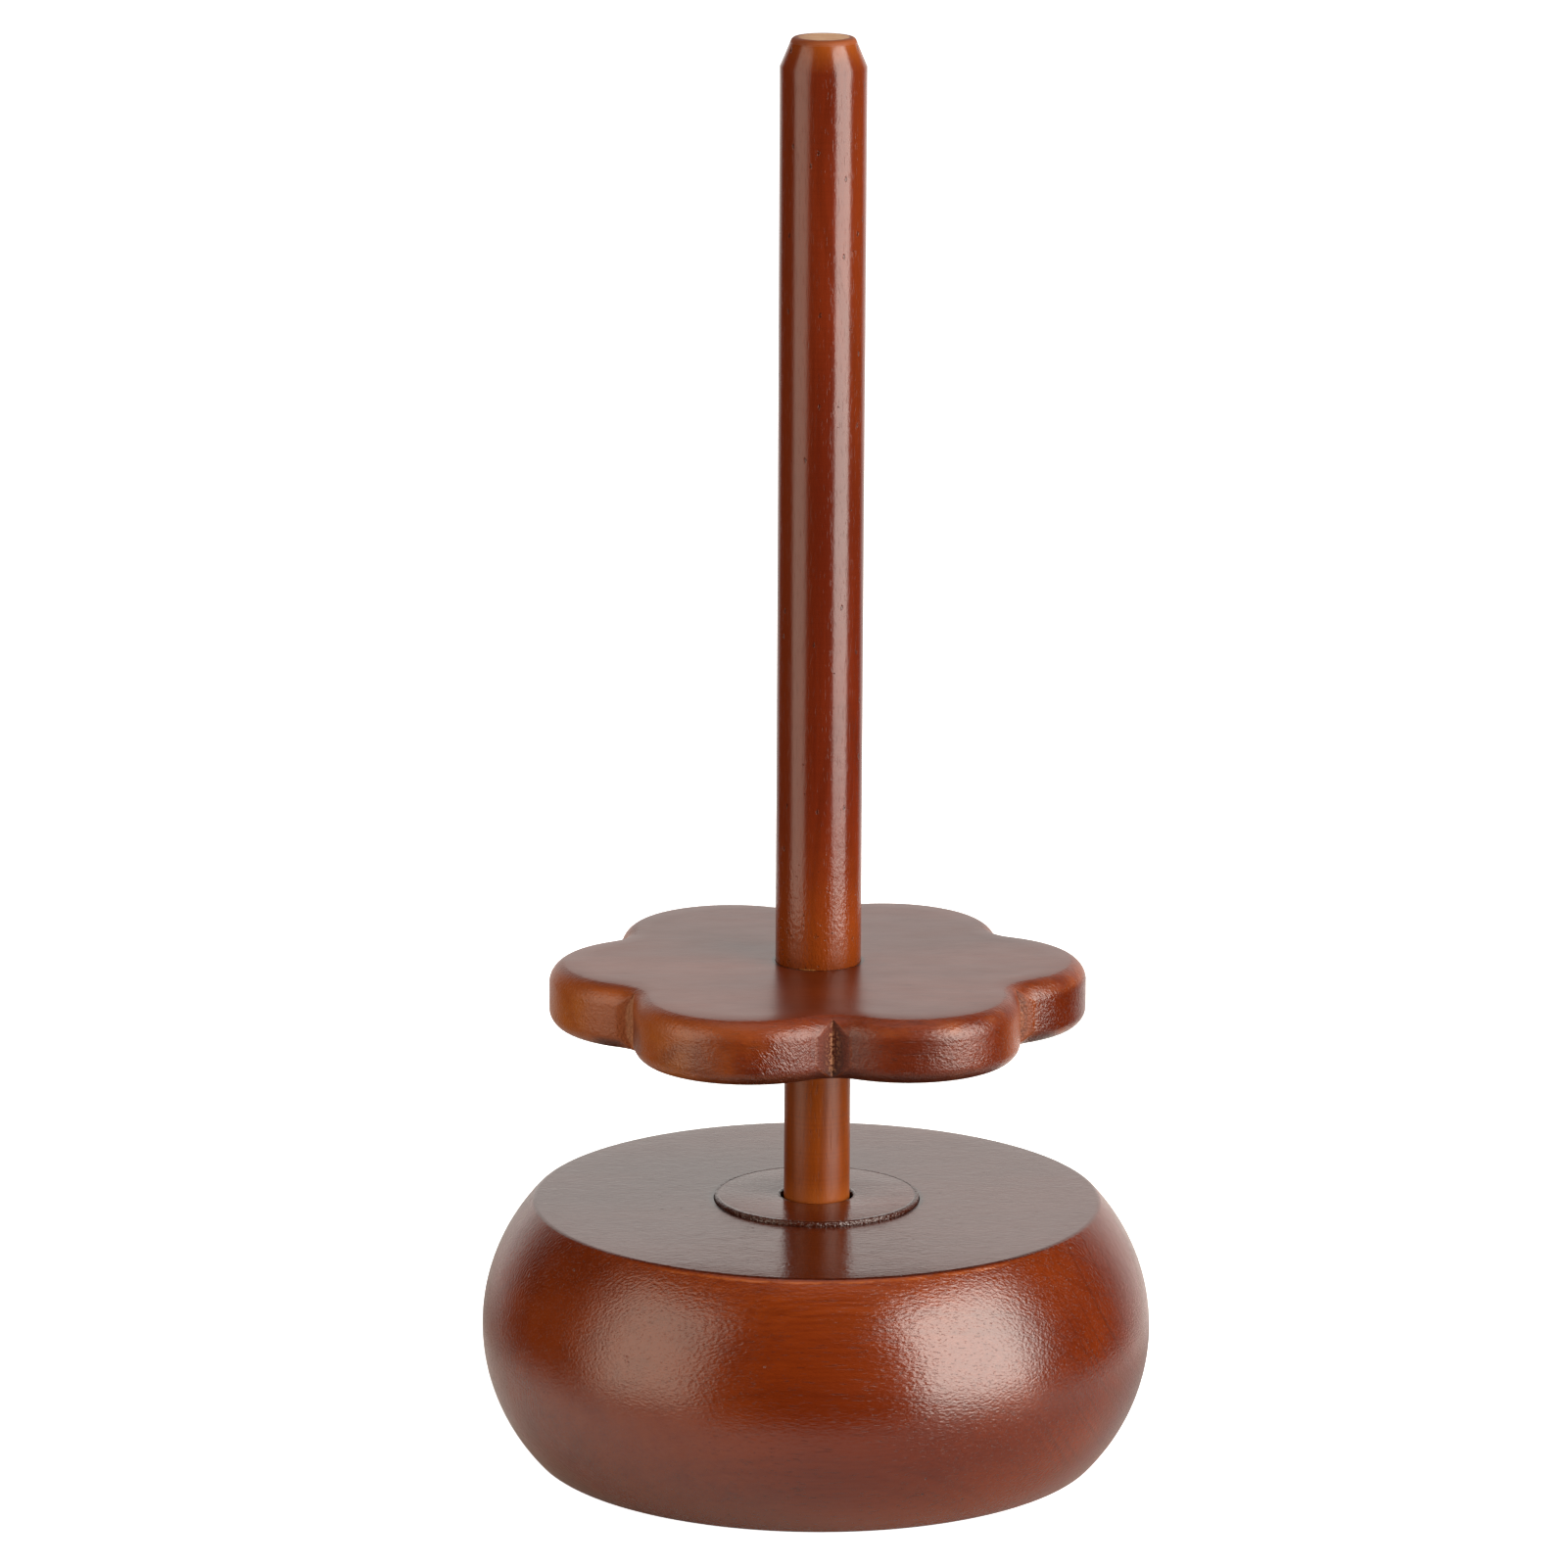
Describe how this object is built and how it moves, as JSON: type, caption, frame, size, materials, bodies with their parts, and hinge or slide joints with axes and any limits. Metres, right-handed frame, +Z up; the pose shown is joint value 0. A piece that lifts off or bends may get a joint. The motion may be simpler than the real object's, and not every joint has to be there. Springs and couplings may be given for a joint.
{
  "type": "yarn ball holder",
  "caption": "Turned wooden yarn holder: a flower-shaped tray with an upright rod spins on a ball bearing set in a heavy rounded base.",
  "frame": {"origin": "centre of the base's underside, on the rod's axis", "axes": "+Z up along the rod's axis; +X towards the tip of one petal; +Y completes the right-handed frame"},
  "size_m": [0.122, 0.122, 0.26],
  "materials": {
    "base_wood": "stained, lacquered gloss",
    "cap_wood": "stained, lacquered gloss",
    "stem_wood": "stained, satin",
    "tray_wood": "stained, lacquered gloss",
    "rod_wood": "stained, lacquered gloss",
    "bearing_steel": "ground",
    "sheet_steel": "pressed sheet",
    "ball_steel": "polished",
    "zinc_steel": "zinc plated"
  },
  "bodies": {
    "stand": {"base": "base_wood", "bearing_cap": "cap_wood", "bearing_outer_ring": "bearing_steel", "bearing_shield_upper": "sheet_steel", "bearing_shield_lower": "sheet_steel"},
    "spindle": {"stem": "stem_wood", "flower_tray": "tray_wood", "rod": "rod_wood", "rod_stud": "zinc_steel", "bearing_inner_ring": "bearing_steel", "retaining_washer": "zinc_steel", "retaining_screw": "zinc_steel"},
    "ball_cage": {"bearing_cage_upper": "sheet_steel", "bearing_cage_lower": "sheet_steel", "bearing_cage_rivets": "sheet_steel", "bearing_ball_1": "ball_steel", "bearing_ball_2": "ball_steel", "bearing_ball_3": "ball_steel", "bearing_ball_4": "ball_steel", "bearing_ball_5": "ball_steel", "bearing_ball_6": "ball_steel", "bearing_ball_7": "ball_steel"}
  },
  "joints": [
    {"name": "spindle_spin", "type": "hinge", "parent": "stand", "child": "spindle", "pos_m": [0, 0, 0.039], "axis": [0, 0, 1], "continuous": true},
    {"name": "cage_spin", "type": "hinge", "parent": "stand", "child": "ball_cage", "pos_m": [0, 0, 0.039], "axis": [0, 0, 1], "continuous": true}
  ],
  "couplings": [
    {"joint": "cage_spin", "follows": "spindle_spin", "ratio": 0.381}
  ]
}
